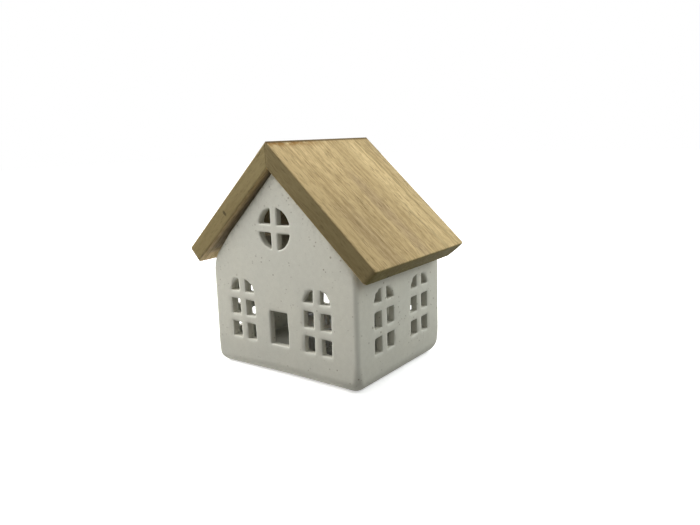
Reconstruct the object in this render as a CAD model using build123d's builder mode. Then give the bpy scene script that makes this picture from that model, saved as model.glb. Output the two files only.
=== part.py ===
"""Tealight house: a pierced stoneware house with a lift-off roof of two mitred boards and a tealight inside.

Frame: origin on the ground under the middle of the house, +X to the right along the gable front, +Y to the
back, +Z up. Sizes are in millimetres.
"""

import os
from math import cos, radians, sin, tan

from build123d import *

# Stoneware house
house_width = 99.2
house_depth = 78.4
eave_height = 63.0  # roof underside above the outer face of a side wall
wall = 3.7
corner_radius = 4.5
base_radius = 7.8
floor_level = 6.0
foot_inset = 12.0  # from the outer face to the hollow under the floor
rim_radius = 2.4  # outer edge of the top rim
rim_ease = 0.5  # inner edge of the top rim

# Arched windows, two in each wall
window_width = 17.3
window_sill = 17.6
spring_height = 24.3  # from the sill to the centre of the arch
pane_height = 8.4
window_bar = 4.6
front_window_offset = 25.8
side_window_offset = 16.8

# Doorway and round window in the front gable
door_width = 12.3
door_height = 17.9
door_sill = 18.0
round_diameter = 21.5
round_height = 78.7
round_bar = 4.5

# Roof boards
roof_pitch = 42.5
board_thickness = 9.6
board_run = 76.9  # underside of a board, from the ridge to the eave
roof_overhang = 3.3
board_ease = 0.45
eave_corner_radius = 2.0

# Ridge batten and its headless brads
batten_side = 9.0
batten_clearance = 0.8
brad_diameter = 1.6
brad_length = 15.0
brad_clearance = 0.05
brad_far = 20.0
brad_near = 10.0

# Tealight
cup_diameter = 38.0
cup_height = 16.0
cup_wall = 0.4
cup_chamfer = 1.4
cup_lip = 0.8
wax_height = 13.0
wax_clearance = 0.05
tab_diameter = 14.0
tab_thickness = 0.4
neck_diameter = 3.2
neck_height = 4.0
wick_diameter = 1.8
wick_height = 21.0

# Derived
pitch = radians(roof_pitch)
gable_height = eave_height + house_width / 2 * tan(pitch)
roof_depth = house_depth + 2 * roof_overhang
inner_width = house_width - 2 * wall
inner_depth = house_depth - 2 * wall
mid_width = (house_width - wall) / 2
mid_depth = (house_depth - wall) / 2
pierce = 2 * wall  # a cut this deep goes right through a wall
window_height = spring_height + window_width / 2
ridge_point = (0, 0, gable_height)
right_slope = Plane(ridge_point, x_dir=(cos(pitch), 0, -sin(pitch)), z_dir=(sin(pitch), 0, cos(pitch)))
left_slope = Plane(ridge_point, x_dir=(-cos(pitch), 0, -sin(pitch)), z_dir=(-sin(pitch), 0, cos(pitch)))
front_face = Plane(origin=(0, -house_depth / 2, 0), x_dir=(1, 0, 0), z_dir=(0, -1, 0))
back_face = Plane(origin=(0, house_depth / 2, 0), x_dir=(-1, 0, 0), z_dir=(0, 1, 0))
right_face = Plane(origin=(house_width / 2, 0, 0), x_dir=(0, 1, 0), z_dir=(1, 0, 0))
left_face = Plane(origin=(-house_width / 2, 0, 0), x_dir=(0, -1, 0), z_dir=(-1, 0, 0))
floor_plane = Plane.XY.offset(floor_level)
os.makedirs("parts", exist_ok=True)

# Outline of the six panes of an arched window, its sill at the origin
with BuildSketch() as arched_window:
    Rectangle(window_width, spring_height, align=(Align.CENTER, Align.MIN))
    with Locations((0, spring_height)):
        Circle(window_width / 2)
    Rectangle(window_bar, window_height, align=(Align.CENTER, Align.MIN), mode=Mode.SUBTRACT)
    with Locations((0, pane_height), (0, 2 * pane_height + window_bar)):
        Rectangle(window_width, window_bar, align=(Align.CENTER, Align.MIN), mode=Mode.SUBTRACT)

# Outline of the four panes of the round window
with BuildSketch() as round_window:
    Circle(round_diameter / 2)
    Rectangle(round_bar, round_diameter, mode=Mode.SUBTRACT)
    Rectangle(round_diameter, round_bar, mode=Mode.SUBTRACT)

# The house is a rounded block cut to the roof slopes and hollowed from above, then pierced wall by wall.
with BuildPart() as house_body:
    with BuildSketch(Plane.XY):
        RectangleRounded(house_width, house_depth, corner_radius)
    extrude(amount=gable_height)
    fillet(house_body.edges().group_by(Axis.Z)[0], base_radius)
    split(bisect_by=right_slope, keep=Keep.BOTTOM)
    split(bisect_by=left_slope, keep=Keep.BOTTOM)
    with BuildSketch(floor_plane):
        RectangleRounded(inner_width, inner_depth, corner_radius - wall)
    extrude(amount=gable_height, mode=Mode.SUBTRACT)
    with BuildSketch(Plane.XY):
        RectangleRounded(house_width - 2 * foot_inset, house_depth - 2 * foot_inset, corner_radius)
    extrude(amount=floor_level - wall, mode=Mode.SUBTRACT)
    # Fettled top rim, all but the two short edges at the gable peaks
    slopes = house_body.faces().filter_by(right_slope) + house_body.faces().filter_by(left_slope)
    peaks = slopes.edges().filter_by(Axis.Y).group_by(Axis.Z)[-1]
    rim = slopes.edges() - peaks
    inner_rim = rim.filter_by_position(Axis.X, -mid_width, mid_width)
    inner_rim = inner_rim.filter_by_position(Axis.Y, -mid_depth, mid_depth)
    fillet(rim - inner_rim, rim_radius)
    fillet(inner_rim, rim_ease)
    # Front gable
    with BuildSketch(front_face):
        with Locations((-front_window_offset, window_sill), (front_window_offset, window_sill)):
            add(arched_window.sketch)
        with Locations((0, round_height)):
            add(round_window.sketch)
        with Locations((0, door_sill)):
            Rectangle(door_width, door_height, align=(Align.CENTER, Align.MIN))
    extrude(amount=-pierce, mode=Mode.SUBTRACT)
    # Back gable
    with BuildSketch(back_face):
        with Locations((-front_window_offset, window_sill), (front_window_offset, window_sill)):
            add(arched_window.sketch)
    extrude(amount=-pierce, mode=Mode.SUBTRACT)
    # Side walls
    with BuildSketch(right_face, left_face):
        with Locations((-side_window_offset, window_sill), (side_window_offset, window_sill)):
            add(arched_window.sketch)
    extrude(amount=-pierce, mode=Mode.SUBTRACT)

# A brad goes in from the far side of the batten, square to the board it enters.
brad_start = -batten_side * sin(2 * pitch)
brad_places = [(batten_side / 2, -brad_far), (batten_side / 2, brad_near)]
with BuildPart() as brad_hole:
    with BuildSketch(Plane.XY.offset(brad_start)):
        Circle(brad_diameter / 2 + brad_clearance)
    extrude(amount=brad_length + brad_clearance)
with BuildPart() as brad:
    with BuildSketch(Plane.XY.offset(brad_start)):
        Circle(brad_diameter / 2)
    extrude(amount=brad_length)

# The board is eased as a longer blank, so the mitre at the ridge stays sharp.
with BuildPart() as roof_board_right:
    with BuildSketch(right_slope):
        with Locations((board_run, 0)):
            Rectangle(board_run + house_width / 2, roof_depth, align=(Align.MAX, Align.CENTER))
    extrude(amount=board_thickness)
    eave_end = roof_board_right.faces().sort_by(Axis.X)[-1]
    fillet(eave_end.edges().filter_by(Axis.Y, reverse=True), eave_corner_radius)
    top_and_bottom = roof_board_right.faces().filter_by(right_slope)
    chamfer(top_and_bottom.edges(), board_ease)
    split(bisect_by=Plane.YZ, keep=Keep.TOP)
    with Locations(right_slope):
        with Locations(brad_places):
            add(brad_hole.part, mode=Mode.SUBTRACT)

with BuildPart() as roof_board_left:
    add(roof_board_right.part.rotate(Axis.Z, 180))

# The batten fills the inside corner of the ridge and stops just short of both gables.
with BuildPart() as ridge_batten:
    with BuildSketch(Plane.XZ):
        with BuildLine():
            Polyline(
                (0, gable_height),
                (batten_side * cos(pitch), gable_height - batten_side * sin(pitch)),
                (0, gable_height - 2 * batten_side * sin(pitch)),
                (-batten_side * cos(pitch), gable_height - batten_side * sin(pitch)),
                close=True,
            )
        make_face()
    extrude(amount=inner_depth / 2 - batten_clearance, both=True)
    with Locations(right_slope):
        with Locations(brad_places):
            add(brad_hole.part, mode=Mode.SUBTRACT)
    with Locations(left_slope):
        with Locations(brad_places):
            add(brad_hole.part, mode=Mode.SUBTRACT)

with BuildPart() as ridge_brads:
    with Locations(right_slope):
        with Locations(brad_places):
            add(brad.part)
    with Locations(left_slope):
        with Locations(brad_places):
            add(brad.part)

# The cup is a pressed sheet: a chamfered can, opened at the top, with a lip turned out round its mouth.
with BuildPart() as tealight_cup:
    with BuildSketch(floor_plane):
        Circle(cup_diameter / 2)
    extrude(amount=cup_height)
    chamfer(tealight_cup.edges().sort_by(Axis.Z)[0], cup_chamfer)
    offset(amount=-cup_wall, openings=tealight_cup.faces().sort_by(Axis.Z)[-1], kind=Kind.INTERSECTION)
    with BuildSketch(floor_plane.offset(cup_height)):
        Circle(cup_diameter / 2 + cup_lip)
        Circle(cup_diameter / 2 - cup_wall, mode=Mode.SUBTRACT)
    extrude(amount=-cup_lip)

with BuildPart() as tealight_wax:
    with BuildSketch(floor_plane.offset(cup_wall)):
        Circle(cup_diameter / 2 - cup_wall - wax_clearance)
    extrude(amount=wax_height)
    chamfer(tealight_wax.edges().sort_by(Axis.Z)[0], cup_chamfer)
    with BuildSketch(floor_plane.offset(cup_wall)):
        Circle(tab_diameter / 2 + wax_clearance)
    extrude(amount=tab_thickness + wax_clearance, mode=Mode.SUBTRACT)
    with BuildSketch(floor_plane.offset(cup_wall)):
        Circle(neck_diameter / 2 + wax_clearance)
    extrude(amount=neck_height + wax_clearance, mode=Mode.SUBTRACT)
    with BuildSketch(floor_plane.offset(cup_wall)):
        Circle(wick_diameter / 2 + wax_clearance)
    extrude(amount=wax_height, mode=Mode.SUBTRACT)

with BuildPart() as tealight_wick_tab:
    with BuildSketch(floor_plane.offset(cup_wall)):
        Circle(tab_diameter / 2)
    extrude(amount=tab_thickness)
    with BuildSketch(floor_plane.offset(cup_wall + tab_thickness)):
        Circle(neck_diameter / 2)
        Circle(wick_diameter / 2 + wax_clearance, mode=Mode.SUBTRACT)
    extrude(amount=neck_height - tab_thickness)

with BuildPart() as tealight_wick:
    with BuildSketch(floor_plane.offset(cup_wall + tab_thickness)):
        Circle(wick_diameter / 2)
    extrude(amount=wick_height)

house_body.part.label = "house_body"
export_step(house_body.part, "parts/house_body.step")
roof_board_left.part.label = "roof_board_left"
export_step(roof_board_left.part, "parts/roof_board_left.step")
roof_board_right.part.label = "roof_board_right"
export_step(roof_board_right.part, "parts/roof_board_right.step")
ridge_batten.part.label = "ridge_batten"
export_step(ridge_batten.part, "parts/ridge_batten.step")
ridge_brads.part.label = "ridge_brads"
export_step(ridge_brads.part, "parts/ridge_brads.step")
tealight_cup.part.label = "tealight_cup"
export_step(tealight_cup.part, "parts/tealight_cup.step")
tealight_wax.part.label = "tealight_wax"
export_step(tealight_wax.part, "parts/tealight_wax.step")
tealight_wick_tab.part.label = "tealight_wick_tab"
export_step(tealight_wick_tab.part, "parts/tealight_wick_tab.step")
tealight_wick.part.label = "tealight_wick"
export_step(tealight_wick.part, "parts/tealight_wick.step")
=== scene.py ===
"""Scene of the tealight house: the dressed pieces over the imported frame, with camera, light and floor.

Lengths are in metres, in the frame's axes: +X right along the gable front, +Y to the back, +Z up.
"""

import bpy
import numpy as np
from mathutils import Matrix, Vector


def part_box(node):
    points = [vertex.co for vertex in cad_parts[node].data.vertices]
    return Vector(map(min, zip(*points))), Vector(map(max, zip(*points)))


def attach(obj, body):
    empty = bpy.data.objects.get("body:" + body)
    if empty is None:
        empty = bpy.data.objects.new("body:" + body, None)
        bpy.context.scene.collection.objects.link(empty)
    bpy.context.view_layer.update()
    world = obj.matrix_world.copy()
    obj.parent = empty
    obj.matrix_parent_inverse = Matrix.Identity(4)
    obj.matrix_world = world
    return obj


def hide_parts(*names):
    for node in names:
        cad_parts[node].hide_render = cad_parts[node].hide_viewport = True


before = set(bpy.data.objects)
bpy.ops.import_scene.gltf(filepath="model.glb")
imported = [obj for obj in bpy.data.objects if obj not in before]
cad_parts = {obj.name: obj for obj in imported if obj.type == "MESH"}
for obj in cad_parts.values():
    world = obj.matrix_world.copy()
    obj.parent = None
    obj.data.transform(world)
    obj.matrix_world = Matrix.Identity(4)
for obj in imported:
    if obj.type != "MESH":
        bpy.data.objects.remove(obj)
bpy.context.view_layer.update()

# Stoneware house
HALF_WIDTH, HALF_DEPTH, GABLE_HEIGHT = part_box("house_body")[1]
WALL = 0.0037
CORNER_RADIUS = 0.0024
INNER_RADIUS = 0.0008
BASE_RADIUS = 0.0078
LEFT_BASE_RADIUS = 0.0052
FLOOR_LEVEL = 0.006
FOOT_INSET = 0.012
RIM_RADIUS = 0.0028
SHOULDER_RADIUS = 0.0075
SHOULDER_START, SHOULDER_BLEND = 0.7, 0.3
RIM_EASE = 0.0005
PANE_EASE = 0.0002

# Uneven casting: thicker walls, a left wall that leans in, and a front rim that slumped on the left
FRONT_SWELL = 0.0012
SWELL_START, SWELL_BLEND = 0.006, 0.01
RIGHT_SWELL = 0.0002
LEFT_LEAN = 0.0014
LEAN_START, LEAN_RISE = -0.03, 0.09
FRONT_SLUMP, SLUMP_MOST = 0.001, 1.9
SLUMP_RIGHT, SLUMP_REACH = 0.02, 0.03
SLUMP_BACK, SLUMP_BLEND = -0.025, 0.01

# Windows and doorway
WINDOW_HALF_WIDTH = 0.00865
WINDOW_SILL = 0.0171
SPRING_HEIGHT = 0.0243
PANE_HEIGHT = 0.0084
WINDOW_BAR = 0.0046
FRONT_WINDOW_OFFSET = 0.0258
SIDE_WINDOW_OFFSET = 0.0168
DOOR_HALF_WIDTH = 0.00615
DOOR_HEIGHT = 0.0179
DOOR_SILL = 0.0173
ROUND_RADIUS = 0.01075
ROUND_HEIGHT = 0.0783
ROUND_BAR = 0.0045
FRONT_OFF_CENTRE = -0.0007
RIGHT_OFF_CENTRE = 0.0006

# Roof
PITCH = np.radians(42.5)
BOARD_THICKNESS = 0.0096
BOARD_RUN = 0.0769
BOARD_HALF_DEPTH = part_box("roof_board_right")[1][1]
BOARD_EASE = 0.00075
MITRE_OVERLAP = 0.00012
EAVE_FRONT_RADIUS = 0.0022
EAVE_BACK_LOW_RADIUS = 0.009
EAVE_BACK_TOP_RADIUS = 0.0018

# Painted light on the front overhang's underside starts this far off the ridge
SOFFIT_START, SOFFIT_BLEND = 0.012, 0.02

# Grids of the skins: spacing near a mark and away from it, and a mark's reach
HOUSE_GRID = (0.0004, 0.003, 0.0008)
BOARD_GRID = (0.0003, 0.0015, 0.001)

# An edge sharper than this stays sharp in the shading
SHARP_ANGLE = np.radians(40)

# From a rounded corner's ends to its middle, the distances to its two sides,
# added up, fall by this share of the radius
CORNER_SHARE = 0.41

# Places in the wood: a board's grain runs at v + slant u, moved by its shift
RIGHT_SLANT, RIGHT_SHIFT = -0.08, (0.0, 0.0, 0.0)
LEFT_SLANT, LEFT_SHIFT = -0.06, (0.4, 0.3, 0.0)
EAVE_CHIP, EAVE_CHIP_SIZE = (0.0769, -0.031, 0.0013), (0.0014, 0.0016, 0.0011)
EDGE_KNOT, EDGE_KNOT_SIZE = (0.4395, 0.3401, 0.0046), (0.0011, 0.003, 0.0021)

# Tealight
CUP_RADIUS = 0.019
CUP_LIP = 0.0008
CUP_WALL = 0.0004
CUP_HEIGHT = 0.016
CUP_FLUTES = 60
FLUTE_DEPTH = 0.00018
CUP_STEPS = 12
WAX_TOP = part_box("tealight_wax")[1][2]
WICK_LOW, WICK_HIGH = (corner[2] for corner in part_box("tealight_wick"))
WICK_RADIUS = 0.0009
WICK_TWIST = 40
WICK_LEAN, WICK_BEND = 0.0012, 0.6

# Camera, fitted to the photograph
IMAGE_WIDTH = 700
FOCAL_PIXELS = 618.4
SENSOR = 36.0
CAMERA_AZIMUTH, CAMERA_ELEVATION, CAMERA_ROLL = np.radians((37.10, 11.69, -1.87))
CAMERA_DISTANCE = 0.33348
CAMERA_TARGET = np.array((0.01686, 0.0, 0.05581))

# Colours, in linear light
STONEWARE_WARM = (0.595, 0.58, 0.495, 1.0)
STONEWARE_COOL = (0.565, 0.555, 0.48, 1.0)
STONEWARE_GRAIN = (0.43, 0.415, 0.35, 1.0)
# Painted highlight round the edge of each pane
PANE_EDGE_HIGHLIGHT = (0.62, 0.615, 0.55, 1.0)
# Bare clay inside, paler partly as its own colour and partly as painted light; also the painted light on the
# upright corners
STONEWARE_BARE_AND_LIT = (0.80, 0.80, 0.70, 1.0)
# Painted shade under the roof
ROOF_SHADE_COLOUR = (0.24, 0.235, 0.20, 1.0)
# Painted shade at the foot
FOOT_SHADE_TINT = (0.9, 0.9, 0.9, 1.0)
# Painted shade on the floor inside
INNER_FLOOR_SHADE = (0.62, 0.62, 0.61, 1.0)
IRON_SPECK = (0.16, 0.12, 0.075, 1.0)
WOOD_LIGHT = (0.645, 0.495, 0.26, 1.0)
WOOD_DARK = (0.337, 0.241, 0.113, 1.0)
WOOD_PORE = (0.13, 0.09, 0.04, 1.0)
WOOD_SAWN = (0.41, 0.30, 0.14, 1.0)
WOOD_RUST = (0.30, 0.15, 0.035, 1.0)
KNOT_DARK = (0.03, 0.022, 0.008, 1.0)
LEFT_SAWN_TINT = (0.54, 0.57, 0.545, 1.0)
RIGHT_SAWN_TINT = (0.41, 0.43, 0.415, 1.0)
EAVE_TINT = (0.82, 0.86, 0.72, 1.0)
RIDGE_TINT = (1.22, 1.22, 1.23, 1.0)
# Painted light on the boards' underside past the walls
SOFFIT_LIGHT_TINT = (1.27, 1.31, 1.5, 1.0)
# Painted light at the eave's front corner
CORNER_LIGHT_TINT = (1.3, 1.3, 1.3, 1.0)
# Darker and cooler on the boards' underside over the house
UNDER_INSIDE_TINT = (0.75, 0.80, 0.98, 1.0)
BATTEN_LIGHT = (0.58, 0.45, 0.27, 1.0)
BATTEN_DARK = (0.40, 0.29, 0.16, 1.0)
ALUMINIUM_DULL = (0.62, 0.62, 0.63, 1.0)
ALUMINIUM_BRIGHT = (0.86, 0.86, 0.87, 1.0)
WAX_DEEP = (0.80, 0.77, 0.69, 1.0)
WAX_PALE = (0.90, 0.88, 0.82, 1.0)
COTTON_DEEP = (0.55, 0.51, 0.43, 1.0)
COTTON_PALE = (0.85, 0.82, 0.74, 1.0)
STEEL_DULL = (0.30, 0.29, 0.28, 1.0)
STEEL_BRIGHT = (0.62, 0.62, 0.62, 1.0)
PAPER_DEEP = (0.90, 0.90, 0.90, 1.0)
PAPER_PALE = (0.95, 0.95, 0.95, 1.0)
PAPER_FOOT = (0.34, 0.34, 0.33, 1.0)
PAPER_NEAR = (0.12, 0.12, 0.118, 1.0)
PAPER_FAR = (0.40, 0.40, 0.39, 1.0)
PAPER_BEHIND = (0.90, 0.90, 0.88, 1.0)

# Specks in the glaze: cells in a metre, radius as a share of a cell, and share of the cells that hold one
FINE_SPECKS = (560.0, 0.36, 0.2)
LARGE_SPECKS = (260.0, 0.22, 0.24)

# Bands on the right board: place and half width across the grain, start down the slope, and tint
BOARD_BANDS = (
    (-0.029, 0.010, 0.03, (0.88, 0.87, 0.89, 1.0)),
    (-0.002, 0.0065, 0.008, (0.86, 0.85, 0.90, 1.0)),
    (0.019, 0.012, -0.03, (1.06, 1.07, 1.08, 1.0)),
    (0.018, 0.0014, 0.03, (0.80, 0.81, 0.80, 1.0)),
    (0.030, 0.0015, -0.03, (0.74, 0.75, 0.72, 1.0)),
    (0.046, 0.018, -0.03, (0.81, 0.83, 0.86, 1.0)),
)

# Sheet under the house
SHEET_HALF_WIDTH = 3.0

# Light: lamps as place, size, power and colour
SKY_STRENGTH = 0.39
FLOOR_GLOW = 0.45
LAMPS = {
    "far": ((-0.50, -1.00, 0.90), 0.90, 3.15, (0.985, 1.0, 1.0)),
    "left": ((-0.43, -0.20, 0.36), 0.34, 3.8, (1.0, 1.0, 1.0)),
    "side": ((0.29, 0.28, 0.25), 0.20, 1.13, (0.95, 1.0, 0.99)),
    "top": ((0.08, 0.26, 0.48), 0.30, 0.75, (1.0, 1.0, 1.0)),
}


def graded(marks, fine, coarse, reach):
    """Grid lines from the first mark to the last, `fine` apart near a mark and `coarse` apart elsewhere.

    The density of lines falls from 1 / fine to 1 / coarse as a bell curve of half-width `reach`, and the
    lines are where its running sum passes whole numbers.
    """
    span = np.linspace(marks[0], marks[-1], 6000)
    nearest = np.abs(span[:, None] - np.array(marks)).min(axis=1)
    density = 1 / coarse + (1 / fine - 1 / coarse) * np.exp(-((nearest / reach) ** 2))
    total = np.concatenate(([0.0], np.cumsum((density[1:] + density[:-1]) / 2 * np.diff(span))))
    count = int(np.ceil(total[-1]))
    return np.interp(np.linspace(0, total[-1], count + 1), total, span)


def surface_net(field, axes):
    """Closed skin where `field` is zero on the grid of three line arrays: vertices and outward quads.

    A cell that the skin crosses holds one vertex, the mean of the zero points on its edges, each at
    t = a / (a - b) between the edge's end values a and b. A quad joins the four cells round a crossed edge.
    """
    inside = field < 0
    size = np.array(field.shape) - 1
    corners = sum(
        inside[i : i + size[0], j : j + size[1], k : k + size[2]].astype(np.int8)
        for i in (0, 1)
        for j in (0, 1)
        for k in (0, 1)
    )
    active = (corners > 0) & (corners < 8)
    cells = np.argwhere(active)
    number = np.full(size, -1)
    number[active] = np.arange(len(cells))
    total = np.zeros((len(cells), 3))
    hits = np.zeros((len(cells), 1))
    quads = []
    for axis in range(3):
        step = np.eye(3, dtype=int)
        along, side, other = step[axis], step[(axis + 1) % 3], step[(axis + 2) % 3]
        for shift in (0 * side, side, other, side + other):
            start, end = cells + shift, cells + shift + along
            a, b = field[tuple(start.T)], field[tuple(end.T)]
            hit = (a < 0) != (b < 0)
            t = np.divide(a, a - b, out=np.zeros_like(a), where=hit)[:, None]
            low = np.stack([axes[k][start[:, k]] for k in range(3)], axis=1)
            high = np.stack([axes[k][end[:, k]] for k in range(3)], axis=1)
            total += hit[:, None] * (low + t * (high - low))
            hits += hit[:, None]
        first = np.take(inside, range(size[axis]), axis=axis)
        second = np.take(inside, range(1, size[axis] + 1), axis=axis)
        edges = np.argwhere(first != second)
        ring = [number[tuple((edges - back).T)] for back in (0 * side, side, side + other, other)]
        ring = np.stack(ring, axis=1)
        leaving = first[tuple(edges.T)]
        quads.append(np.where(leaving[:, None], ring, ring[:, ::-1]))
    return total / hits, np.concatenate(quads).tolist()


def round_max(a, b, radius):
    """The larger of two distances, with the edge where they meet rounded: hypot(a + r, b + r) - r near it."""
    rounded = np.hypot(np.maximum(a + radius, 0), np.maximum(b + radius, 0))
    return np.minimum(np.maximum(a, b), -radius) + rounded


def rounded_rectangle(x, y, half_x, half_y, radius):
    """Distance to a rectangle of the given half sizes whose corners have the given radius."""
    a, b = np.abs(x) - half_x + radius, np.abs(y) - half_y + radius
    return np.minimum(np.maximum(a, b), 0) + np.hypot(np.maximum(a, 0), np.maximum(b, 0)) - radius


def add_piece(name, vertices, faces, body, node, slot, **attributes):
    """A smooth mesh piece that stands for a node, with a float or vector attribute for each extra one."""
    mesh = bpy.data.meshes.new(name)
    mesh.from_pydata(vertices.tolist(), [], faces)
    mesh.shade_smooth()
    for key, values in attributes.items():
        vector = values.ndim == 2
        layer = mesh.attributes.new(key, "FLOAT_VECTOR" if vector else "FLOAT", "POINT")
        layer.data.foreach_set("vector" if vector else "value", values.astype(np.float32).ravel())
    piece = bpy.data.objects.new(name, mesh)
    bpy.context.scene.collection.objects.link(piece)
    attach(piece, body)
    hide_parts(node)
    return piece


def arched_panes(u, v):
    """Distance to the six panes of an arched window, with v up from its sill."""
    sides = np.where(v > SPRING_HEIGHT, np.hypot(u, v - SPRING_HEIGHT), np.abs(u)) - WINDOW_HALF_WIDTH
    outline = round_max(sides, -v, PANE_EASE)
    half_bar = WINDOW_BAR / 2
    upright = half_bar - np.abs(u)
    lower_rail = half_bar - np.abs(v - PANE_HEIGHT - half_bar)
    upper_rail = half_bar - np.abs(v - 2 * PANE_HEIGHT - 3 * half_bar)
    return round_max(round_max(outline, upright, PANE_EASE), np.maximum(lower_rail, upper_rail), PANE_EASE)


def round_panes(u, v):
    """Distance to the four panes of the round window, from its centre."""
    half_bar = ROUND_BAR / 2
    quarters = round_max(np.hypot(u, v) - ROUND_RADIUS, half_bar - np.abs(u), PANE_EASE)
    return round_max(quarters, half_bar - np.abs(v), PANE_EASE)


def all_panes(x, y, z):
    """Distance to the nearest cut-out of the wall that a point lies in, negative in a pane or the doorway.

    `wave` makes the hand-cut edges up to 0.2 mm uneven.
    """
    wave = 0.00012 * np.sin(310 * x + 170 * z) + 0.0001 * np.sin(520 * z - 260 * y)
    across = x - np.where(y < 0, FRONT_OFF_CENTRE, 0)
    along = y - np.where(x > 0, RIGHT_OFF_CENTRE, 0)
    arches = arched_panes(np.abs(across) - FRONT_WINDOW_OFFSET + wave, z - WINDOW_SILL + wave)
    door_middle = DOOR_SILL + DOOR_HEIGHT / 2
    door = rounded_rectangle(across + wave, z - door_middle, DOOR_HALF_WIDTH, DOOR_HEIGHT / 2, PANE_EASE)
    front = np.minimum(np.minimum(arches, round_panes(across, z - ROUND_HEIGHT + wave)), door)
    side = arched_panes(np.abs(along) - SIDE_WINDOW_OFFSET + wave, z - WINDOW_SILL + wave)
    in_gable = np.abs(y) > HALF_DEPTH - 2 * WALL
    return np.where(in_gable, np.where(y < 0, front, arches), side)


def upright(x, z):
    """Where a point would be across the house if its cast left wall stood upright instead of leaning in."""
    lean = LEFT_LEAN / HALF_WIDTH * np.clip((z - LEAN_START) / LEAN_RISE, 0, 1)
    return x * (1 + np.where(x < 0, lean, 0))


def above_slope(x, y, z):
    """Height over the slopes of the rim, square to them.

    The boards lie on them, apart from the left half of the front, which slumped a little in the firing: by
    nothing on the right, and more and more towards the left.
    """
    front = np.clip((SLUMP_BACK - y) / SLUMP_BLEND, 0, 1)
    leftward = np.clip((SLUMP_RIGHT - x) / SLUMP_REACH, 0, SLUMP_MOST)
    slump = FRONT_SLUMP * leftward * front**2 * (3 - 2 * front)
    return (z - GABLE_HEIGHT) * np.cos(PITCH) + np.abs(x) * np.sin(PITCH) + slump


def outer_block(x, y, z):
    """Distance to the rounded block under two slopes that the house is made from.

    The upright corners widen to the base radius at the foot, and the rim to the shoulder radius at the eaves.
    """
    base = BASE_RADIUS - (BASE_RADIUS - LEFT_BASE_RADIUS) * np.clip(-x / HALF_WIDTH, 0, 1)
    foot = np.clip(1 - z / (2 * base), 0, 1) ** 2
    corner = CORNER_RADIUS + (base - CORNER_RADIUS) * foot
    block = rounded_rectangle(upright(x, z), y, HALF_WIDTH, HALF_DEPTH, corner)
    block = round_max(block, -z, base)
    shoulder = np.clip((np.abs(x) / HALF_WIDTH - SHOULDER_START) / SHOULDER_BLEND, 0, 1)
    return round_max(block, above_slope(x, y, z), RIM_RADIUS + (SHOULDER_RADIUS - RIM_RADIUS) * shoulder)


def house_field(x, y, z):
    """Distance to the stoneware: the outer block, hollowed, with a foot rim and pierced walls.

    As cast, the left half of the front wall and all of the right wall are thicker, each by its swell.
    """
    block = outer_block(x, y, z)
    hollow = rounded_rectangle(upright(x, z), y, HALF_WIDTH - WALL, HALF_DEPTH - WALL, INNER_RADIUS)
    swell = FRONT_SWELL * np.clip((-x - SWELL_START) / SWELL_BLEND, 0, 1)
    hollow = np.maximum(hollow, swell - y - HALF_DEPTH + WALL)
    hollow = np.maximum(hollow, RIGHT_SWELL + x - HALF_WIDTH + WALL)
    hollow = round_max(hollow, FLOOR_LEVEL - z, INNER_RADIUS)
    foot = rounded_rectangle(x, y, HALF_WIDTH - FOOT_INSET, HALF_DEPTH - FOOT_INSET, CORNER_RADIUS)
    foot = np.maximum(foot, z - FLOOR_LEVEL + WALL)
    block = round_max(round_max(block, -hollow, RIM_EASE), -foot, PANE_EASE)
    return round_max(block, -all_panes(x, y, z), PANE_EASE)


def house_axes():
    """Grid lines that crowd at the walls, the corners and the edges of the panes."""
    margin, step = 0.002, 0.0014

    def window_marks(offset):
        edges = offset + np.array((-WINDOW_HALF_WIDTH, -WINDOW_BAR / 2, WINDOW_BAR / 2, WINDOW_HALF_WIDTH))
        return np.concatenate((-edges, edges))

    def wall_marks(half):
        steps = np.arange(half - BASE_RADIUS, half + margin, step)
        return np.concatenate((-steps[::-1], steps))

    round_steps = np.arange(-ROUND_RADIUS, ROUND_RADIUS, step)
    middle = np.concatenate((round_steps, (-DOOR_HALF_WIDTH, DOOR_HALF_WIDTH)))
    front = window_marks(FRONT_WINDOW_OFFSET) + FRONT_OFF_CENTRE / 2
    side = window_marks(SIDE_WINDOW_OFFSET) + RIGHT_OFF_CENTRE / 2
    x_marks = np.sort(np.concatenate((wall_marks(HALF_WIDTH), front, middle)))
    y_marks = np.sort(np.concatenate((wall_marks(HALF_DEPTH), side)))
    rails = WINDOW_SILL + np.array((0, PANE_HEIGHT, PANE_HEIGHT + WINDOW_BAR, 2 * PANE_HEIGHT + WINDOW_BAR))
    over_arch = 0.0512
    arch = np.arange(WINDOW_SILL + 2 * (PANE_HEIGHT + WINDOW_BAR), over_arch, 0.0012)
    gable = np.arange(ROUND_HEIGHT - ROUND_RADIUS, GABLE_HEIGHT + margin, 0.0016)
    base = np.arange(-margin, BASE_RADIUS, 0.0013)
    door_top = (DOOR_SILL + DOOR_HEIGHT,)
    z_marks = np.sort(np.concatenate((base, rails, door_top, arch, gable)))
    return [graded(marks, *HOUSE_GRID) for marks in (x_marks, y_marks, z_marks)]


def build_house():
    """The stoneware house as one skin.

    For the glaze, `rim` is the distance to the nearest pane, `depth` the share of the wall that lies outside,
    `drop` the distance below the slopes, and `corner` is 1 along the middle of a rounded upright corner.
    """
    axes = house_axes()
    field = house_field(*np.meshgrid(*axes, indexing="ij"))
    vertices, faces = surface_net(field, axes)
    rim = np.abs(all_panes(*vertices.T))
    depth = -outer_block(*vertices.T) / WALL
    drop = -above_slope(*vertices.T)
    x, y, z = vertices.T
    to_corner = HALF_WIDTH - np.abs(upright(x, z)) + HALF_DEPTH - np.abs(y)
    corner = np.clip((CORNER_RADIUS - to_corner) / (CORNER_SHARE * CORNER_RADIUS), 0, 1)
    places = {"rim": rim, "depth": depth, "drop": drop, "corner": corner}
    house = add_piece("stoneware_house", vertices, faces, "house", "house_body", "stoneware", **places)
    house.data.set_sharp_from_angle(angle=SHARP_ANGLE)
    return house


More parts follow.
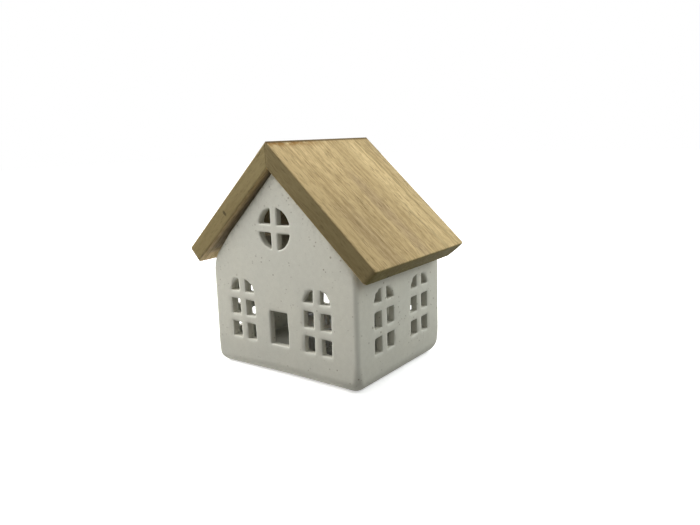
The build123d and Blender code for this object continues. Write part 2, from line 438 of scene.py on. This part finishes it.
def board_field(u, v, w, front):
    """Distance to a roof board: u down the slope, v across it, w up from the underside.

    `front` is v's sign in front. The eave's back corner is rounder towards the underside, with the square of
    the way down. The mitre reaches a little past the ridge's middle.
    """
    below_top = np.clip(1 - w / BOARD_THICKNESS, 0, 1)
    back_radius = EAVE_BACK_TOP_RADIUS + (EAVE_BACK_LOW_RADIUS - EAVE_BACK_TOP_RADIUS) * below_top**2
    corner = np.where(v * front > 0, EAVE_FRONT_RADIUS, back_radius)
    plan = rounded_rectangle(u, v, BOARD_RUN, BOARD_HALF_DEPTH, corner)
    slab = np.abs(w - BOARD_THICKNESS / 2) - BOARD_THICKNESS / 2
    board = round_max(plan, slab, BOARD_EASE)
    mitre = -u * np.cos(PITCH) - w * np.sin(PITCH) - MITRE_OVERLAP
    return np.maximum(board, mitre)


def build_board(name, node, side, slant, shift):
    """A roof board: its own field laid on a slope, turned half round the ridge's middle for the left side.

    `grain` is the place in the wood, slanted by v + slant u and moved by `shift`, and `crest` the distance
    from the ridge. The rest are 1 at a place: `sawn` on the edges, `eave` on the eave's end, `corner` at the
    eave's front corner, which gets painted light, and two on the underside: one over the house, which is
    darker and cooler, and one past the walls, which gets painted light.
    """
    margin, step = 0.001, 0.002
    ridge = -BOARD_THICKNESS * np.tan(PITCH) - margin

    def end_marks(end):
        return (*np.arange(end - EAVE_BACK_LOW_RADIUS, end, step), end, end + margin)

    verge = np.array(end_marks(BOARD_HALF_DEPTH))
    ends_u = np.concatenate((np.arange(ridge, margin, 0.0015), end_marks(BOARD_RUN)))
    ends_v = np.concatenate((-verge[::-1], verge))
    ends_w = np.linspace(-margin, BOARD_THICKNESS + margin, 8)
    axes = [graded(marks, *BOARD_GRID) for marks in (ends_u, ends_v, ends_w)]
    local, faces = surface_net(board_field(*np.meshgrid(*axes, indexing="ij"), -side), axes)
    down = np.array((np.cos(PITCH), 0, -np.sin(PITCH)))
    normal = np.array((np.sin(PITCH), 0, np.cos(PITCH)))
    vertices = np.outer(local[:, 0], down) + np.outer(local[:, 1], (0, 1, 0)) + np.outer(local[:, 2], normal)
    vertices = vertices * (side, side, 1) + (0, 0, GABLE_HEIGHT)
    u, v, w = local.T
    to_end, to_side, to_top = BOARD_RUN - u, BOARD_HALF_DEPTH - np.abs(v), BOARD_THICKNESS - w
    sawn = np.clip((np.minimum(to_top, w) - np.minimum(to_end, to_side)) / BOARD_EASE + 0.5, 0, 1)
    eave = np.clip((np.minimum(np.minimum(to_side, to_top), w) - to_end) / BOARD_EASE + 0.5, 0, 1)
    crest = u * np.cos(PITCH) + w * np.sin(PITCH)
    # Painted light at the eave's front corner, against the shade on its rounding
    corner = np.clip((EAVE_FRONT_RADIUS - to_end - to_side) / (CORNER_SHARE * EAVE_FRONT_RADIUS), 0, 1)
    corner = corner * (v * side < 0)
    inside = np.minimum(HALF_WIDTH - np.abs(vertices[:, 0]), HALF_DEPTH - np.abs(vertices[:, 1]))
    # Darker, cooler underside over the house, fading out half a wall outside the walls
    under_inside = np.clip(inside / WALL + 0.5, 0, 1) * (w < BOARD_EASE)
    # Painted light on the underside past the walls
    past_wall = np.clip((np.abs(vertices[:, :2]) - (HALF_WIDTH, HALF_DEPTH)) / BOARD_EASE + 0.5, 0, 1)
    lower_run = np.clip((np.abs(vertices[:, 0]) - SOFFIT_START) / SOFFIT_BLEND, 0, 1)
    verge_strip = past_wall[:, 1] * (lower_run * np.clip(to_side / BOARD_EASE, 0, 1))
    soffit_light = np.maximum(past_wall[:, 0], verge_strip) * (w < BOARD_EASE)
    grain = np.stack((u, v + slant * u, w), axis=1) + shift
    places = {"grain": grain, "sawn": sawn, "eave": eave, "under_inside": under_inside}
    places |= {"crest": crest, "corner": corner, "soffit_light": soffit_light}
    board = add_piece(name, vertices, faces, "roof", node, "roof_wood", **places)
    board.data.set_sharp_from_angle(angle=SHARP_ANGLE)
    return board


def ring_quads(rows, turns):
    """Outward quads between rings of `turns` points each, stacked in rows."""
    row, column = np.meshgrid(np.arange(rows - 1), np.arange(turns), indexing="ij")
    right = (column + 1) % turns
    lower, upper = row * turns, (row + 1) * turns
    quads = np.stack((lower + column, lower + right, upper + right, upper + column), -1)
    return quads.reshape(-1, 4).tolist()


def lathe(radius, height, turns, ripple=0.0, flutes=0):
    """Closed skin of a profile turned round Z from pole to pole.

    Its points are ((r + a cos n t) cos t, (r + a cos n t) sin t, z), where n is `flutes` and a is `ripple`.
    The first and last profile points lie on the axis.
    """
    angle = np.linspace(0, 2 * np.pi, turns, endpoint=False)
    swing = np.broadcast_to(ripple, radius.shape)[1:-1, None] * np.cos(flutes * angle)
    r = radius[1:-1, None] + swing
    z = np.broadcast_to(height[1:-1, None], r.shape)
    rings = np.stack((r * np.cos(angle), r * np.sin(angle), z), axis=-1).reshape(-1, 3)
    points = np.concatenate((rings, [(0, 0, height[0]), (0, 0, height[-1])]))
    rows = len(radius) - 2
    last_ring, pole = (rows - 1) * turns, rows * turns
    column = np.arange(turns)
    right = (column + 1) % turns
    first = np.stack((np.full(turns, pole), right, column), -1)
    last = np.stack((np.full(turns, pole + 1), last_ring + column, last_ring + right), -1)
    return points, ring_quads(rows, turns) + first.tolist() + last.tolist()


def build_cup():
    """The pressed cup: chamfered base, fluted wall, and a lip turned out round its mouth."""
    inset, base_ring = 0.0002, 0.008
    wall_steps = np.linspace(0.0016, CUP_HEIGHT - 0.0018, CUP_STEPS)
    flute = FLUTE_DEPTH * np.sin(np.pi * np.linspace(0, 1, CUP_STEPS)) ** 0.5
    base_r = (0, base_ring, CUP_RADIUS - 0.0014, CUP_RADIUS - 0.0006)
    outer_r = np.concatenate((base_r, np.full(CUP_STEPS, CUP_RADIUS - inset)))
    outer_z = np.concatenate(((0, 0, 0, 0.0005), wall_steps))
    turn = np.linspace(-np.pi / 2, np.pi / 2, 7)
    lip_r = CUP_RADIUS + CUP_LIP / 2 * (1 + np.cos(turn)) - CUP_LIP / 2
    lip_z = CUP_HEIGHT - CUP_LIP / 2 + CUP_LIP / 2 * np.sin(turn)
    inside = CUP_RADIUS - CUP_WALL
    inner_r = np.concatenate((np.full(CUP_STEPS, inside - inset), (inside - 0.0012, base_ring, 0)))
    inner_z = np.concatenate((wall_steps[::-1], (CUP_WALL, CUP_WALL, CUP_WALL)))
    ripple = np.concatenate((np.zeros(len(base_r)), flute, np.zeros(len(turn)), flute, np.zeros(3)))
    radius = np.concatenate((outer_r, lip_r, inner_r))
    height = FLOOR_LEVEL + np.concatenate((outer_z, lip_z, inner_z))
    points, faces = lathe(radius, height, 6 * CUP_FLUTES, ripple, CUP_FLUTES)
    return add_piece("pressed_cup", points, faces, "tealight", "tealight_cup", "cup_aluminium")


def build_wax():
    """The wax: a disc with a raised skin where it met the cup and the wick as it set.

    The skin dies away from both with exp(-distance / reach), and the top sinks to the middle with 1 - s^2,
    where s is the share of the radius.
    """
    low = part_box("tealight_wax")[0][2]
    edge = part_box("tealight_wax")[1][0] - 0.0002
    chamfer, below_top = 0.0016, 0.0008
    spread = np.linspace(1, 0, 40)
    top_r = edge * spread
    cup_skin = 0.0006 * np.exp(-(edge - top_r) / 0.0007)
    wick_skin = 0.0007 * np.exp(-top_r / 0.0012)
    sink = -0.0005 * (1 - spread**2)
    radius = np.concatenate(((0, edge - chamfer, edge), top_r))
    height = np.concatenate(((low, low, low + chamfer), WAX_TOP - below_top + (cup_skin + wick_skin) + sink))
    points, faces = lathe(radius, height, 96)
    return add_piece("poured_wax", points, faces, "tealight", "tealight_wax", "wax")


def build_wick():
    """The braided wick: three lobes that twist as they climb, narrow at the tip and leaning at the top.

    Its radius is r (0.86 + 0.14 cos(3 t + k s)) at the angle t and the share s of its height, with twist k.
    """
    climb = np.linspace(0, 1, 90)
    angle = np.linspace(0, 2 * np.pi, 36, endpoint=False)
    taper = np.clip((1 - climb) / 0.03, 0.35, 1) ** 0.5
    radius = WICK_RADIUS * taper[:, None] * (0.86 + 0.14 * np.cos(3 * angle + WICK_TWIST * climb[:, None]))
    lean = WICK_LEAN * (np.clip(climb - WICK_BEND, 0, 1)[:, None] / (1 - WICK_BEND)) ** 2
    x = radius * np.cos(angle) + lean
    y = radius * np.sin(angle)
    z = np.broadcast_to((WICK_LOW + climb * (WICK_HIGH - WICK_LOW))[:, None], x.shape)
    rings = np.stack((x, y, z), axis=-1).reshape(-1, 3)
    turns, rows = len(angle), len(climb)
    ends = [list(range(turns))[::-1], list(range((rows - 1) * turns, rows * turns))]
    faces = ring_quads(rows, turns) + ends
    return add_piece("braided_wick", rings, faces, "tealight", "tealight_wick", "wick")


def add_node(tree, kind, inputs=None, **settings):
    """Add a shader node, apply its settings, and link or set each input given by its name or number."""
    made = tree.nodes.new(kind)
    for key, value in settings.items():
        setattr(made, key, value)
    for key, value in (inputs or {}).items():
        if isinstance(value, bpy.types.NodeSocket):
            tree.links.new(value, made.inputs[key])
        else:
            made.inputs[key].default_value = value
    return made


def mix(tree, factor, a, b, blend="MIX"):
    """Blend two colours."""
    inputs = {0: factor, 6: a, 7: b}
    return add_node(tree, "ShaderNodeMix", inputs, data_type="RGBA", blend_type=blend).outputs[2]


def calculate(tree, operation, a, b=0.0):
    """One arithmetic step on values."""
    return add_node(tree, "ShaderNodeMath", {0: a, 1: b}, operation=operation).outputs[0]


def ramp(tree, value, low, high, start=0.0, end=1.0):
    """Smooth step of a value from `start` at `low` to `end` at `high`."""
    inputs = {"Value": value, "From Min": low, "From Max": high, "To Min": start, "To Max": end}
    return add_node(tree, "ShaderNodeMapRange", inputs, interpolation_type="SMOOTHSTEP").outputs["Result"]


def vector_math(tree, operation, a, b=(0.0, 0.0, 0.0), output="Vector"):
    """One arithmetic step on vectors: the vector, or the value, that it gives."""
    return add_node(tree, "ShaderNodeVectorMath", {0: a, 1: b}, operation=operation).outputs[output]


def stretch(tree, vector, factors):
    """Scale a vector along each axis."""
    return vector_math(tree, "MULTIPLY", vector, factors)


def split(tree, vector):
    """A vector's X, Y and Z."""
    return add_node(tree, "ShaderNodeSeparateXYZ", {0: vector}).outputs


def noise(tree, vector, scale, detail=2.0):
    """Smooth random value from 0 to 1."""
    inputs = {"Vector": vector, "Scale": scale, "Detail": detail}
    return add_node(tree, "ShaderNodeTexNoise", inputs).outputs["Fac"]


def object_vector(tree):
    """Place on the piece, in metres."""
    return add_node(tree, "ShaderNodeTexCoord").outputs["Object"]


def attribute(tree, name, output="Fac"):
    """A mesh attribute's value, or its vector."""
    return add_node(tree, "ShaderNodeAttribute", attribute_name=name).outputs[output]


def new_group(name, inputs, outputs):
    """An empty shader node group with the named sockets: its tree, its input node and its output node."""
    tree = bpy.data.node_groups.new(name, "ShaderNodeTree")
    for socket, kind in inputs.items():
        tree.interface.new_socket(socket, in_out="INPUT", socket_type=kind)
    for socket, kind in outputs.items():
        tree.interface.new_socket(socket, in_out="OUTPUT", socket_type=kind)
    return tree, tree.nodes.new("NodeGroupInput"), tree.nodes.new("NodeGroupOutput")


def use_group(tree, group, inputs):
    """Put a node group into a tree."""
    return add_node(tree, "ShaderNodeGroup", inputs, node_tree=group)


def specks_group():
    """Scattered specks: a mask that is 1 in a share of a random lattice's cells, within a random radius."""
    number, vector = "NodeSocketFloat", "NodeSocketVector"
    inputs = {"Vector": vector, "Scale": number, "Radius": number, "Share": number}
    tree, given, result = new_group("specks", inputs, {"Mask": number})
    cells = {"Vector": given.outputs["Vector"], "Scale": given.outputs["Scale"]}
    lattice = add_node(tree, "ShaderNodeTexVoronoi", cells)
    chance = add_node(tree, "ShaderNodeSeparateColor", {"Color": lattice.outputs["Color"]})
    present = calculate(tree, "LESS_THAN", chance.outputs["Red"], given.outputs["Share"])
    spread = ramp(tree, chance.outputs["Green"], 0.0, 1.0, 0.45, 1.0)
    radius = calculate(tree, "MULTIPLY", spread, given.outputs["Radius"])
    ratio = calculate(tree, "DIVIDE", lattice.outputs["Distance"], radius)
    spot = ramp(tree, ratio, 1.0, 0.45)
    tree.links.new(calculate(tree, "MULTIPLY", spot, present), result.inputs["Mask"])
    return tree


def wood_group():
    """Straight-grained wood with fibres along X: growth bands, streaks, fine fibres and short open pores."""
    number = "NodeSocketFloat"
    outputs = {"Growth": number, "Streaks": number, "Pores": number, "Height": number}
    tree, given, result = new_group("wood_grain", {"Vector": "NodeSocketVector"}, outputs)
    vector = given.outputs["Vector"]
    bend = noise(tree, stretch(tree, vector, (16, 26, 26)), 1.0, 1.0)
    drift = add_node(tree, "ShaderNodeCombineXYZ", {"Y": calculate(tree, "MULTIPLY", bend, 0.006)}).outputs[0]
    vector = vector_math(tree, "ADD", vector, drift)
    growth = noise(tree, stretch(tree, vector, (8, 90, 60)), 1.0, 3.0)
    lines = noise(tree, stretch(tree, vector, (14, 430, 380)), 1.0, 3.0)
    fibre = noise(tree, stretch(tree, vector, (260, 1300, 1300)), 1.0, 3.0)
    streaks = calculate(tree, "MULTIPLY", calculate(tree, "ADD", lines, fibre), 0.5)
    pores = ramp(tree, noise(tree, stretch(tree, vector, (150, 1700, 1700)), 1.0, 1.0), 0.40, 0.28)
    height = calculate(tree, "SUBTRACT", calculate(tree, "ADD", lines, fibre), pores)
    for name, value in {"Growth": growth, "Streaks": streaks, "Pores": pores, "Height": height}.items():
        tree.links.new(value, result.inputs[name])
    return tree


def new_material(name):
    """A node material: itself, its tree and its Principled shader."""
    material = bpy.data.materials.new(name)
    material.use_nodes = True
    return material, material.node_tree, material.node_tree.nodes["Principled BSDF"]


def set_bump(tree, shader, height, strength, distance):
    """Link a height to the shader's normal."""
    inputs = {"Height": height, "Strength": strength, "Distance": distance}
    tree.links.new(add_node(tree, "ShaderNodeBump", inputs).outputs[0], shader.inputs["Normal"])


def stoneware_material(specks):
    """Matt off-white glaze: soft clouds, fine grain, scattered iron specks, and a painted highlight round
    each pane.

    Along the upright corners it has painted light. Under the roof it has painted shade, broken up by noise,
    and it has painted shade at the foot. Inside it is bare and paler, partly its own colour and partly
    painted light, and the floor inside has painted shade.
    """
    material, tree, shader = new_material("speckled_stoneware")
    vector = object_vector(tree)
    clouds = ramp(tree, noise(tree, vector, 42.0, 3.0), 0.3, 0.7)
    grain = noise(tree, vector, 1500.0, 3.0)
    colour = mix(tree, clouds, STONEWARE_COOL, STONEWARE_WARM)
    colour = mix(tree, ramp(tree, grain, 0.3, 0.7, 0.0, 0.14), colour, STONEWARE_GRAIN)
    mottle = noise(tree, vector, 330.0, 3.0)
    colour = mix(tree, ramp(tree, mottle, 0.35, 0.65, 0.0, 0.16), colour, STONEWARE_GRAIN)
    depth = attribute(tree, "depth")
    # Painted highlight: paler within 1.6 mm of each pane's edge, on the outer face only
    edge = ramp(tree, attribute(tree, "rim"), 0.0016, 0.0, 0.0, 0.36)
    edge = calculate(tree, "MULTIPLY", edge, ramp(tree, depth, 0.2, 0.05))
    colour = mix(tree, edge, colour, PANE_EDGE_HIGHLIGHT)
    # Painted light along the middle of each rounded upright corner, against the shade that falls there
    corner_light = calculate(tree, "MULTIPLY", attribute(tree, "corner"), 0.45)
    # Inside, the bare clay is paler, partly its own colour and partly painted light that brightens the hollow
    inside = ramp(tree, depth, 0.85, 1.05)
    colour = mix(tree, calculate(tree, "MAXIMUM", inside, corner_light), colour, STONEWARE_BARE_AND_LIT)
    # Painted shade: darker within 9 mm below the slopes of the rim, broken up by noise
    roof_shade = ramp(tree, attribute(tree, "drop"), 0.009, 0.001, 0.0, 0.26)
    roof_shade = calculate(tree, "MULTIPLY", roof_shade, ramp(tree, noise(tree, vector, 420.0, 3.0), 0.45, 0.65))
    colour = mix(tree, roof_shade, colour, ROOF_SHADE_COLOUR)
    level = split(tree, vector)["Z"]
    # Painted shade: darker towards the foot, below 24 mm
    colour = mix(tree, ramp(tree, level, 0.024, 0.004), colour, FOOT_SHADE_TINT, "MULTIPLY")
    # Painted shade on the floor inside the house, within 5 mm of it
    inner_floor_shade = calculate(tree, "MULTIPLY", inside, ramp(tree, level, FLOOR_LEVEL + 0.005, FLOOR_LEVEL + 0.0005))
    colour = mix(tree, inner_floor_shade, colour, INNER_FLOOR_SHADE, "MULTIPLY")
    turn = {"Vector": vector, "Axis": (0.5, 0.7, 0.4), "Angle": 0.9}
    turned = add_node(tree, "ShaderNodeVectorRotate", turn).outputs[0]
    crowd = ramp(tree, noise(tree, vector, 70.0, 2.0), 0.42, 0.62, 0.1, 0.65)
    for scale, radius, share in FINE_SPECKS, LARGE_SPECKS:
        inputs = {"Vector": turned, "Scale": scale, "Radius": radius, "Share": share}
        spots = use_group(tree, specks, inputs).outputs["Mask"]
        colour = mix(tree, calculate(tree, "MULTIPLY", spots, crowd), colour, IRON_SPECK)
    tree.links.new(colour, shader.inputs["Base Color"])
    tree.links.new(ramp(tree, grain, 0.2, 0.8, 0.58, 0.72), shader.inputs["Roughness"])
    shader.inputs["Specular IOR Level"].default_value = 0.35
    # The large specks, which come last, are pits too
    lumps, pits = calculate(tree, "MULTIPLY", clouds, 0.6), calculate(tree, "MULTIPLY", spots, 0.4)
    height = calculate(tree, "ADD", lumps, calculate(tree, "MULTIPLY", grain, 0.3))
    height = calculate(tree, "SUBTRACT", height, pits)
    set_bump(tree, shader, height, 0.35, 0.00025)
    return material


def grain_colour(tree, grain, light, dark):
    """Wood's colour: growth bands and streaks from a light to a dark tone, with darker pores."""
    colour = mix(tree, ramp(tree, grain.outputs["Growth"], 0.35, 0.65, 0.1, 0.5), light, dark)
    colour = mix(tree, ramp(tree, grain.outputs["Streaks"], 0.40, 0.62, 0.0, 0.8), colour, dark)
    return mix(tree, calculate(tree, "MULTIPLY", grain.outputs["Pores"], 0.6), colour, WOOD_PORE)


def finish_wood(tree, shader, grain, colour):
    """Link wood's colour, its sheen and its open grain to the shader."""
    tree.links.new(colour, shader.inputs["Base Color"])
    tree.links.new(ramp(tree, grain.outputs["Streaks"], 0.2, 0.8, 0.55, 0.75), shader.inputs["Roughness"])
    shader.inputs["Specular IOR Level"].default_value = 0.05
    set_bump(tree, shader, grain.outputs["Height"], 0.35, 0.0002)


def board_material(name, wood, sawn_tint, mark, mark_size):
    """Oiled board: bands of tone along the grain, rust at the ridge with a line of painted shade along it,
    stained edges and one dark mark, with a darker, cooler underside over the house and painted light on the
    underside past the walls and at the eave's front corner.

    The bands wander a little, and lie at places in the wood that only the right board has. The mark is an
    ellipsoid of the given half sizes round a place in the wood.
    """
    material, tree, shader = new_material(name)
    vector = attribute(tree, "grain", "Vector")
    grain = use_group(tree, wood, {"Vector": vector})
    colour = grain_colour(tree, grain, WOOD_LIGHT, WOOD_DARK)
    place = split(tree, vector)
    wander = noise(tree, stretch(tree, vector, (20, 60, 60)), 1.0, 2.0)
    wander = calculate(tree, "MULTIPLY", calculate(tree, "SUBTRACT", wander, 0.5), 0.006)
    across = calculate(tree, "ADD", place["Y"], wander)
    for band, half_width, start, tint in BOARD_BANDS:
        off_band = calculate(tree, "ABSOLUTE", calculate(tree, "SUBTRACT", across, band))
        share = ramp(tree, off_band, half_width, 0.15 * half_width)
        share = calculate(tree, "MULTIPLY", share, ramp(tree, place["X"], start, start + 0.02))
        colour = mix(tree, share, colour, tint, "MULTIPLY")
    to_front = ramp(tree, across, 0.02, -0.03, 0.4, 1.0)
    pale = calculate(tree, "MULTIPLY", ramp(tree, place["X"], 0.05, -0.006), to_front)
    colour = mix(tree, pale, colour, RIDGE_TINT, "MULTIPLY")
    crest, sawn = attribute(tree, "crest"), attribute(tree, "sawn")
    planed = calculate(tree, "SUBTRACT", 1.0, sawn)
    upper = calculate(tree, "MULTIPLY", planed, ramp(tree, place["Z"], 0.004, 0.006))
    in_front = ramp(tree, split(tree, object_vector(tree))["Y"], 0.01, -0.03, 0.15, 1.0)
    rust = calculate(tree, "MULTIPLY", ramp(tree, crest, 0.0042, 0.0008), in_front)
    rust = calculate(tree, "MULTIPLY", rust, ramp(tree, noise(tree, vector, 330.0, 3.0), 0.38, 0.56))
    colour = mix(tree, calculate(tree, "MULTIPLY", rust, upper), colour, WOOD_RUST)
    # Painted shade: a dark line along the ridge, where the boards meet
    ridge = calculate(tree, "MULTIPLY", ramp(tree, crest, 0.0015, 0.0006, 0.0, 0.9), upper)
    colour = mix(tree, ridge, colour, WOOD_PORE)
    colour = mix(tree, calculate(tree, "MULTIPLY", sawn, 0.5), colour, WOOD_SAWN)
    colour = mix(tree, sawn, colour, sawn_tint, "MULTIPLY")
    # Painted light at the eave's front corner and on the underside past the walls; darker, cooler underside
    # over the house
    tints = {"eave": EAVE_TINT, "corner": CORNER_LIGHT_TINT, "soffit_light": SOFFIT_LIGHT_TINT, "under_inside": UNDER_INSIDE_TINT}
    for mask, tint in tints.items():
        colour = mix(tree, attribute(tree, mask), colour, tint, "MULTIPLY")
    offset = vector_math(tree, "DIVIDE", vector_math(tree, "SUBTRACT", vector, mark), mark_size)
    away = vector_math(tree, "LENGTH", offset, output="Value")
    colour = mix(tree, ramp(tree, away, 1.0, 0.5, 0.0, 0.75), colour, KNOT_DARK)
    finish_wood(tree, shader, grain, colour)
    return material


def batten_material(wood):
    """Bare sawn batten, with its grain along the ridge."""
    material, tree, shader = new_material("sawn_batten")
    turn = {"Vector": object_vector(tree), "Angle": np.pi / 2}
    vector = add_node(tree, "ShaderNodeVectorRotate", turn, rotation_type="Z_AXIS").outputs[0]
    grain = use_group(tree, wood, {"Vector": vector})
    finish_wood(tree, shader, grain, grain_colour(tree, grain, BATTEN_LIGHT, BATTEN_DARK))
    return material


def aluminium_material():
    """Drawn sheet: bright metal with faint rings and smudges."""
    material, tree, shader = new_material("drawn_aluminium")
    vector = object_vector(tree)
    rings = noise(tree, stretch(tree, vector, (60, 60, 2600)), 1.0, 2.0)
    smudge = noise(tree, vector, 160.0, 3.0)
    tree.links.new(mix(tree, smudge, ALUMINIUM_DULL, ALUMINIUM_BRIGHT), shader.inputs["Base Color"])
    tree.links.new(ramp(tree, smudge, 0.3, 0.7, 0.22, 0.4), shader.inputs["Roughness"])
    shader.inputs["Metallic"].default_value = 1.0
    set_bump(tree, shader, rings, 0.12, 0.0001)
    return material


def wax_material():
    """Paraffin wax: milky, with light that spreads under the skin, and faint crystals."""
    material, tree, shader = new_material("paraffin_wax")
    vector = object_vector(tree)
    crystals = noise(tree, vector, 420.0, 4.0)
    tree.links.new(mix(tree, crystals, WAX_DEEP, WAX_PALE), shader.inputs["Base Color"])
    tree.links.new(ramp(tree, crystals, 0.3, 0.7, 0.34, 0.5), shader.inputs["Roughness"])
    shader.inputs["Subsurface Weight"].default_value = 0.5
    shader.inputs["Subsurface Radius"].default_value = (0.003, 0.0025, 0.002)
    shader.inputs["Subsurface Scale"].default_value = 1.0
    set_bump(tree, shader, crystals, 0.15, 0.0001)
    return material


def wick_material():
    """Waxed cotton: cream threads that cross as they climb."""
    material, tree, shader = new_material("waxed_cotton")
    vector = object_vector(tree)
    threads = noise(tree, stretch(tree, vector, (2500, 2500, 900)), 1.0, 2.0)
    tree.links.new(mix(tree, threads, COTTON_DEEP, COTTON_PALE), shader.inputs["Base Color"])
    tree.links.new(ramp(tree, threads, 0.2, 0.8, 0.7, 0.9), shader.inputs["Roughness"])
    set_bump(tree, shader, threads, 0.5, 0.0002)
    return material


def steel_material():
    """Bare steel wire and sheet: grey metal with dull patches."""
    material, tree, shader = new_material("bare_steel")
    patches = noise(tree, object_vector(tree), 900.0, 3.0)
    tree.links.new(mix(tree, patches, STEEL_DULL, STEEL_BRIGHT), shader.inputs["Base Color"])
    tree.links.new(ramp(tree, patches, 0.3, 0.7, 0.3, 0.5), shader.inputs["Roughness"])
    shader.inputs["Metallic"].default_value = 1.0
    set_bump(tree, shader, patches, 0.1, 0.0001)
    return material


def seen_directly(tree):
    """1 for a ray from the camera, or one that a mirror or glass passes on, and 0 for bounced light."""
    path = add_node(tree, "ShaderNodeLightPath").outputs
    mirrored = calculate(tree, "MAXIMUM", path["Is Glossy Ray"], path["Is Transmission Ray"])
    return calculate(tree, "MAXIMUM", path["Is Camera Ray"], mirrored)


def floor_material():
    """Pale paper: white to the eye and in reflections, with a shadow at the foot of the house.

    Its glow grows with the distance from the house, where the lamps fade. To bounced light it is dark round
    the house, so the walls keep their shade low down, brighter close to the foot, which it lights from below,
    and white at the back and the left, which shine into the house through the windows.
    """
    material, tree, shader = new_material("pale_paper")
    seen = seen_directly(tree)
    vector = object_vector(tree)
    fleck = ramp(tree, noise(tree, vector, 300.0, 2.0), 0.2, 0.8)
    paper = mix(tree, fleck, PAPER_DEEP, PAPER_PALE)
    away = vector_math(tree, "LENGTH", vector, output="Value")
    bounce = mix(tree, ramp(tree, away, 0.07, 0.30), PAPER_NEAR, PAPER_FAR)
    mirrored = vector_math(tree, "ABSOLUTE", vector)
    clear = split(tree, vector_math(tree, "SUBTRACT", mirrored, (HALF_WIDTH, HALF_DEPTH, 0.0)))
    clear = calculate(tree, "MAXIMUM", clear["X"], clear["Y"])
    bounce = mix(tree, ramp(tree, clear, 0.0, 0.012), PAPER_FOOT, bounce)
    place = split(tree, vector)
    from_left, from_back = ramp(tree, place["X"], 0.045, 0.035), ramp(tree, place["Y"], -0.046, -0.036)
    bounce = mix(tree, calculate(tree, "MULTIPLY", from_left, from_back), bounce, PAPER_BEHIND)
    tree.links.new(mix(tree, seen, bounce, paper), shader.inputs["Base Color"])
    shader.inputs["Emission Color"].default_value = (1.0, 1.0, 1.0, 1.0)
    glow = ramp(tree, away, 0.05, 0.35, FLOOR_GLOW, 1.0)
    tree.links.new(calculate(tree, "MULTIPLY", seen, glow), shader.inputs["Emission Strength"])
    shader.inputs["Roughness"].default_value = 0.95
    shader.inputs["Specular IOR Level"].default_value = 0.0
    return material


def finish_piece(piece, material):
    """Give a new piece its material."""
    piece.data.materials.append(material)


def dress_node(name, material):
    """Give a CAD node that stays its material."""
    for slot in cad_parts[name].material_slots:
        slot.material = material


def dress_object():
    """Build every piece and give it, and each CAD node that stays, its material."""
    specks, wood = specks_group(), wood_group()
    finish_piece(build_house(), stoneware_material(specks))
    right = build_board("oak_board_right", "roof_board_right", 1, RIGHT_SLANT, RIGHT_SHIFT)
    finish_piece(right, board_material("oiled_oak_right", wood, RIGHT_SAWN_TINT, EAVE_CHIP, EAVE_CHIP_SIZE))
    left = build_board("oak_board_left", "roof_board_left", -1, LEFT_SLANT, LEFT_SHIFT)
    finish_piece(left, board_material("oiled_oak_left", wood, LEFT_SAWN_TINT, EDGE_KNOT, EDGE_KNOT_SIZE))
    dress_node("ridge_batten", batten_material(wood))
    steel = steel_material()
    dress_node("ridge_brads", steel)
    dress_node("tealight_wick_tab", steel)
    finish_piece(build_cup(), aluminium_material())
    finish_piece(build_wax(), wax_material())
    finish_piece(build_wick(), wick_material())


def place_camera():
    """Camera at the fitted place: `back` points from the target to it, and the roll turns it about that."""
    right = np.array((np.cos(CAMERA_AZIMUTH), np.sin(CAMERA_AZIMUTH), 0))
    level_back = np.array((np.sin(CAMERA_AZIMUTH), -np.cos(CAMERA_AZIMUTH), 0))
    back = np.cos(CAMERA_ELEVATION) * level_back + np.sin(CAMERA_ELEVATION) * np.array((0, 0, 1))
    up = np.cross(back, right)
    rolled_right = np.cos(CAMERA_ROLL) * right + np.sin(CAMERA_ROLL) * up
    rolled_up = np.cos(CAMERA_ROLL) * up - np.sin(CAMERA_ROLL) * right
    matrix = np.eye(4)
    matrix[:3, :4] = np.stack((rolled_right, rolled_up, back, CAMERA_TARGET + CAMERA_DISTANCE * back), axis=1)
    data = bpy.data.cameras.new("camera")
    data.sensor_width = SENSOR
    data.lens = FOCAL_PIXELS / IMAGE_WIDTH * SENSOR
    data.clip_start = 0.01
    camera = bpy.data.objects.new("camera", data)
    camera.matrix_world = Matrix(matrix.tolist())
    bpy.context.scene.collection.objects.link(camera)
    bpy.context.scene.camera = camera


def add_area_light(name, place, size, power, colour):
    """A square soft light that faces the middle of the house."""
    data = bpy.data.lights.new(name, "AREA")
    data.size, data.energy, data.color = size, power, colour
    light = bpy.data.objects.new(name, data)
    aim = Vector((0, 0, GABLE_HEIGHT / 2)) - Vector(place)
    light.matrix_world = Matrix.Translation(place) @ aim.to_track_quat("-Z", "Y").to_matrix().to_4x4()
    bpy.context.scene.collection.objects.link(light)


def light_scene():
    """Soft studio light: white all round to the camera, a dimmer sky for the object, and four soft lamps."""
    world = bpy.data.worlds.new("studio")
    world.use_nodes = True
    tree = world.node_tree
    strength = ramp(tree, seen_directly(tree), 0.0, 1.0, SKY_STRENGTH, 1.0)
    background = tree.nodes["Background"]
    background.inputs["Color"].default_value = (1.0, 1.0, 1.0, 1.0)
    tree.links.new(strength, background.inputs["Strength"])
    bpy.context.scene.world = world
    for name, (place, size, power, colour) in LAMPS.items():
        add_area_light(name, place, size, power, colour)


def lay_floor():
    """A wide sheet under the house."""
    half = SHEET_HALF_WIDTH
    mesh = bpy.data.meshes.new("floor")
    corners = [(-half, -half, 0), (half, -half, 0), (half, half, 0), (-half, half, 0)]
    mesh.from_pydata(corners, [], [(0, 1, 2, 3)])
    floor = bpy.data.objects.new("floor", mesh)
    bpy.context.scene.collection.objects.link(floor)
    finish_piece(floor, floor_material())


dress_object()
place_camera()
light_scene()
lay_floor()
bpy.context.scene.view_settings.view_transform = "Standard"
